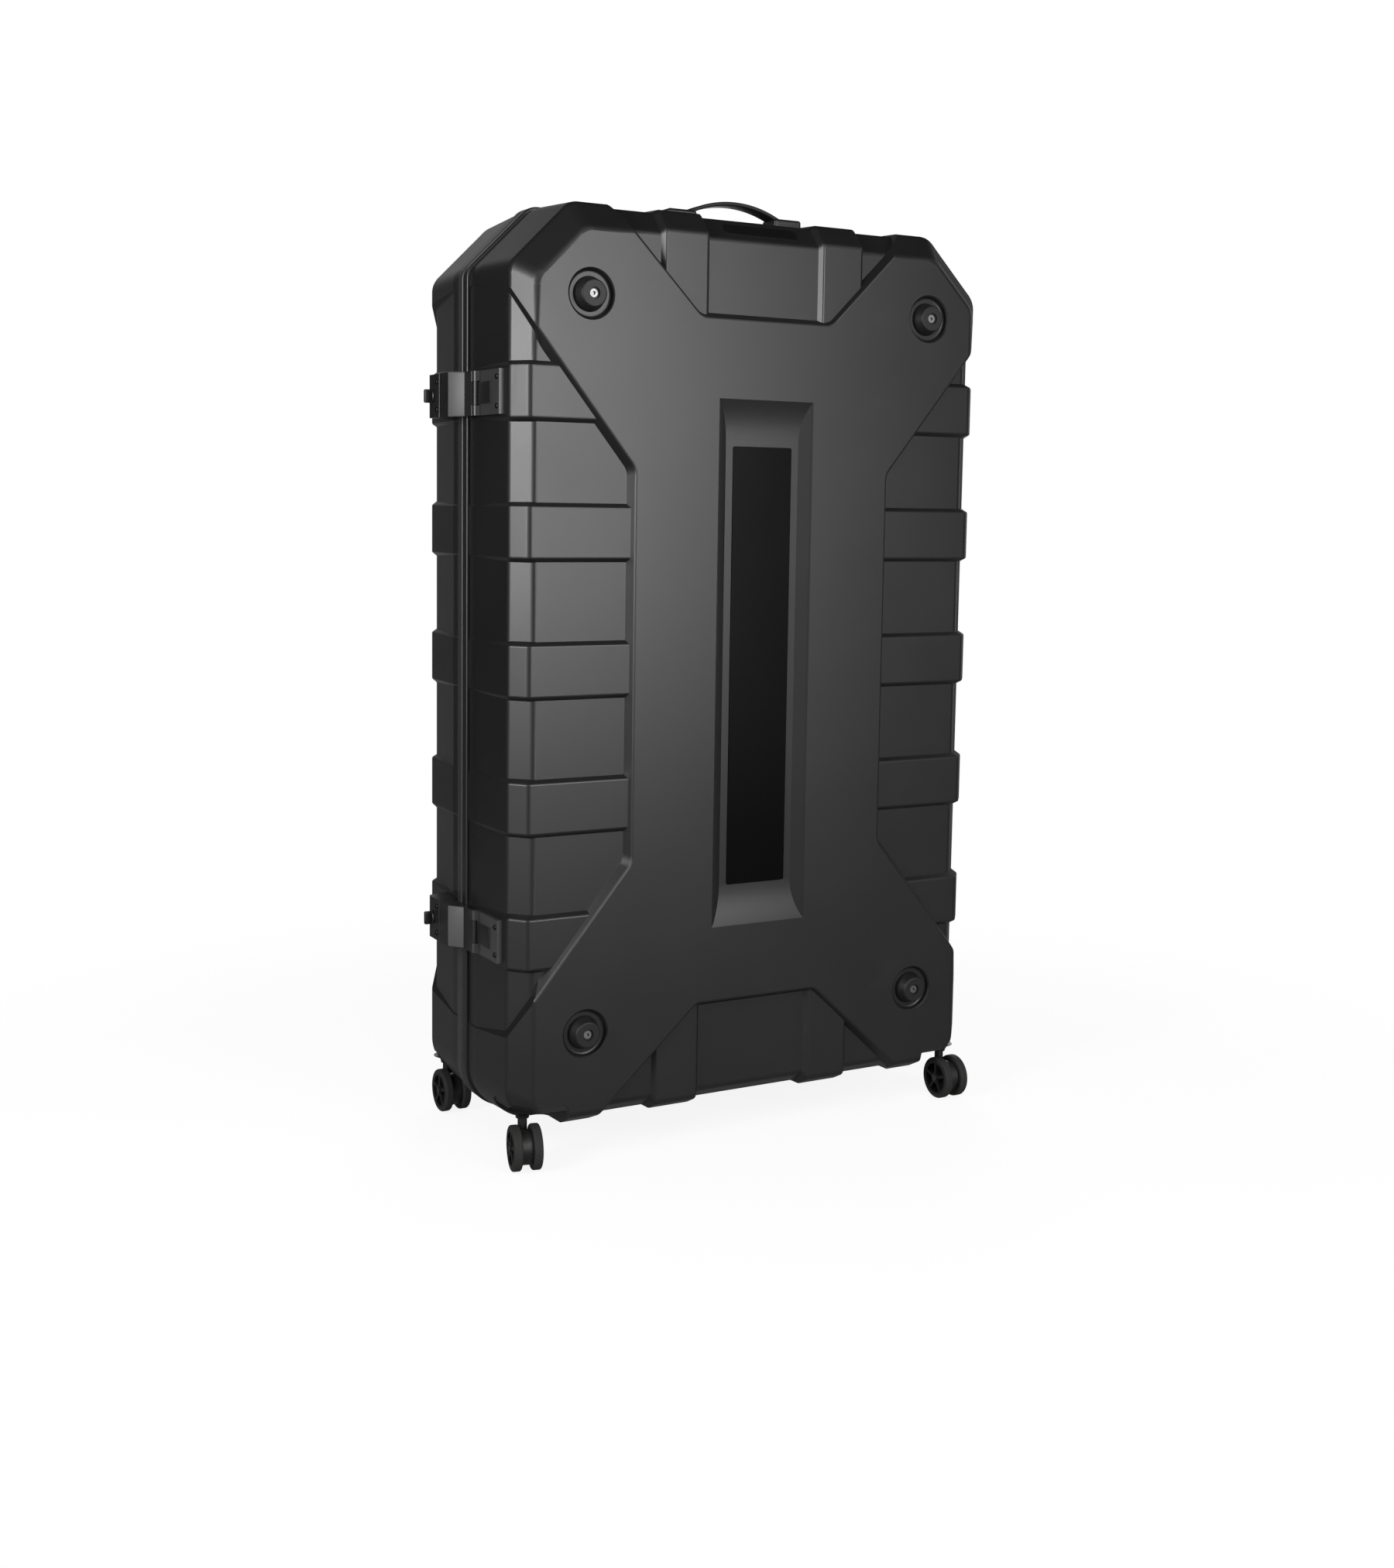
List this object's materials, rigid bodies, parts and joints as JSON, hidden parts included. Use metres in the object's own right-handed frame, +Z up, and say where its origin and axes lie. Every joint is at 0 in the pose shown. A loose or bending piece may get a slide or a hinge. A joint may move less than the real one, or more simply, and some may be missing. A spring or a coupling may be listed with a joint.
{
  "type": "bike travel case",
  "caption": "Upright hard travel case for a bicycle: two ribbed half shells hinged on one long side, held by side latches, rolling on twin wheel swivel casters.",
  "frame": {"origin": "on the floor under the middle of the case, in the plane of the seam", "axes": "+Z up, +X towards the hinges, +Y towards the back half, labelled front at -Y"},
  "size_m": [0.8087, 0.365, 1.3016],
  "materials": {
    "shell_plastic": "satin moulded ABS with a fine grain",
    "frame_plastic": "satin extruded rim profile",
    "seal_rubber": "matte",
    "foot_rubber": "matte moulded",
    "foot_steel": "zinc plated",
    "post_plastic": "matte moulded",
    "foam": "open cell foam",
    "webbing": "woven webbing",
    "trim_plastic": "satin moulded",
    "gloss_plate": "gloss black, bare",
    "handle_rubber": "soft matte",
    "steel": "plated",
    "hinge_metal": "black coated",
    "caster_plastic": "moulded nylon",
    "wheel_plastic": "moulded",
    "tyre_rubber": "worn tread"
  },
  "bodies": {
    "back_half": {"back_shell": "shell_plastic", "back_frame": "frame_plastic", "seal": "seal_rubber", "back_feet": "foot_rubber", "back_foot_screws": "foot_steel", "back_posts": "post_plastic", "back_foam": "foam", "tie_straps": "webbing", "strap_buckles": "trim_plastic", "latch_keepers": "trim_plastic", "back_screws": "steel", "hinge_leaves_back": "hinge_metal", "hinge_pins": "steel", "hinge_rivets_back": "steel", "caster_mounts_back": "caster_plastic"},
    "front_half": {"front_shell": "shell_plastic", "front_frame": "frame_plastic", "front_feet": "foot_rubber", "front_foot_screws": "foot_steel", "front_posts": "post_plastic", "front_foam": "foam", "label_plate": "gloss_plate", "badge_plate": "gloss_plate", "handle_strap": "handle_rubber", "handle_feet": "trim_plastic", "front_screws": "steel", "latch_bases": "trim_plastic", "latch_pins": "steel", "hinge_leaves_front": "hinge_metal", "hinge_rivets_front": "steel", "caster_mounts_front": "caster_plastic"},
    "lever_upper": {"latch_lever_upper": "trim_plastic"},
    "lever_lower": {"latch_lever_lower": "trim_plastic"},
    "knob_upper": {"lock_knob_upper": "trim_plastic"},
    "knob_lower": {"lock_knob_lower": "trim_plastic"},
    "caster_front_left": {"caster_yoke_front_left": "caster_plastic", "axle_front_left": "steel"},
    "wheel_front_left_right": {"wheel_front_left_right": "wheel_plastic", "tyre_front_left_right": "tyre_rubber"},
    "wheel_front_left_left": {"wheel_front_left_left": "wheel_plastic", "tyre_front_left_left": "tyre_rubber"},
    "caster_front_right": {"caster_yoke_front_right": "caster_plastic", "axle_front_right": "steel"},
    "wheel_front_right_right": {"wheel_front_right_right": "wheel_plastic", "tyre_front_right_right": "tyre_rubber"},
    "wheel_front_right_left": {"wheel_front_right_left": "wheel_plastic", "tyre_front_right_left": "tyre_rubber"},
    "caster_back_left": {"caster_yoke_back_left": "caster_plastic", "axle_back_left": "steel"},
    "wheel_back_left_right": {"wheel_back_left_right": "wheel_plastic", "tyre_back_left_right": "tyre_rubber"},
    "wheel_back_left_left": {"wheel_back_left_left": "wheel_plastic", "tyre_back_left_left": "tyre_rubber"},
    "caster_back_right": {"caster_yoke_back_right": "caster_plastic", "axle_back_right": "steel"},
    "wheel_back_right_right": {"wheel_back_right_right": "wheel_plastic", "tyre_back_right_right": "tyre_rubber"},
    "wheel_back_right_left": {"wheel_back_right_left": "wheel_plastic", "tyre_back_right_left": "tyre_rubber"}
  },
  "joints": [
    {"name": "case_opening", "type": "hinge", "parent": "back_half", "child": "front_half", "pos_m": [0.3928, 0, 0.664], "axis": [0, 0, 1], "range_deg": [0, 160]},
    {"name": "latch_upper", "type": "hinge", "parent": "front_half", "child": "lever_upper", "pos_m": [-0.377, -0.052, 1.024], "axis": [0, 0, 1], "range_deg": [0, 115]},
    {"name": "latch_lower", "type": "hinge", "parent": "front_half", "child": "lever_lower", "pos_m": [-0.377, -0.052, 0.304], "axis": [0, 0, 1], "range_deg": [0, 115]},
    {"name": "lock_upper", "type": "hinge", "parent": "back_half", "child": "knob_upper", "pos_m": [-0.4, 0.052, 1.024], "axis": [1, 0, 0], "range_deg": [0, 90]},
    {"name": "lock_lower", "type": "hinge", "parent": "back_half", "child": "knob_lower", "pos_m": [-0.4, 0.052, 0.304], "axis": [1, 0, 0], "range_deg": [0, 90]},
    {"name": "swivel_front_left", "type": "hinge", "parent": "front_half", "child": "caster_front_left", "pos_m": [-0.343, -0.137, 0.068], "axis": [0, 0, 1], "continuous": true},
    {"name": "roll_front_left_right", "type": "hinge", "parent": "caster_front_left", "child": "wheel_front_left_right", "pos_m": [-0.33354, -0.15741, 0.0305], "axis": [0.9781, -0.2079, 0], "continuous": true},
    {"name": "roll_front_left_left", "type": "hinge", "parent": "caster_front_left", "child": "wheel_front_left_left", "pos_m": [-0.35995, -0.1518, 0.0305], "axis": [0.9781, -0.2079, 0], "continuous": true},
    {"name": "swivel_front_right", "type": "hinge", "parent": "front_half", "child": "caster_front_right", "pos_m": [0.343, -0.137, 0.068], "axis": [0, 0, 1], "continuous": true},
    {"name": "roll_front_right_right", "type": "hinge", "parent": "caster_front_right", "child": "wheel_front_right_right", "pos_m": [0.3565, -0.155, 0.0305], "axis": [1, 0, 0], "continuous": true},
    {"name": "roll_front_right_left", "type": "hinge", "parent": "caster_front_right", "child": "wheel_front_right_left", "pos_m": [0.3295, -0.155, 0.0305], "axis": [1, 0, 0], "continuous": true},
    {"name": "swivel_back_left", "type": "hinge", "parent": "back_half", "child": "caster_back_left", "pos_m": [-0.343, 0.137, 0.068], "axis": [0, 0, 1], "continuous": true},
    {"name": "roll_back_left_right", "type": "hinge", "parent": "caster_back_left", "child": "wheel_back_left_right", "pos_m": [-0.3295, 0.119, 0.0305], "axis": [1, 0, 0], "continuous": true},
    {"name": "roll_back_left_left", "type": "hinge", "parent": "caster_back_left", "child": "wheel_back_left_left", "pos_m": [-0.3565, 0.119, 0.0305], "axis": [1, 0, 0], "continuous": true},
    {"name": "swivel_back_right", "type": "hinge", "parent": "back_half", "child": "caster_back_right", "pos_m": [0.343, 0.137, 0.068], "axis": [0, 0, 1], "continuous": true},
    {"name": "roll_back_right_right", "type": "hinge", "parent": "caster_back_right", "child": "wheel_back_right_right", "pos_m": [0.3565, 0.119, 0.0305], "axis": [1, 0, 0], "continuous": true},
    {"name": "roll_back_right_left", "type": "hinge", "parent": "caster_back_right", "child": "wheel_back_right_left", "pos_m": [0.3295, 0.119, 0.0305], "axis": [1, 0, 0], "continuous": true}
  ]
}
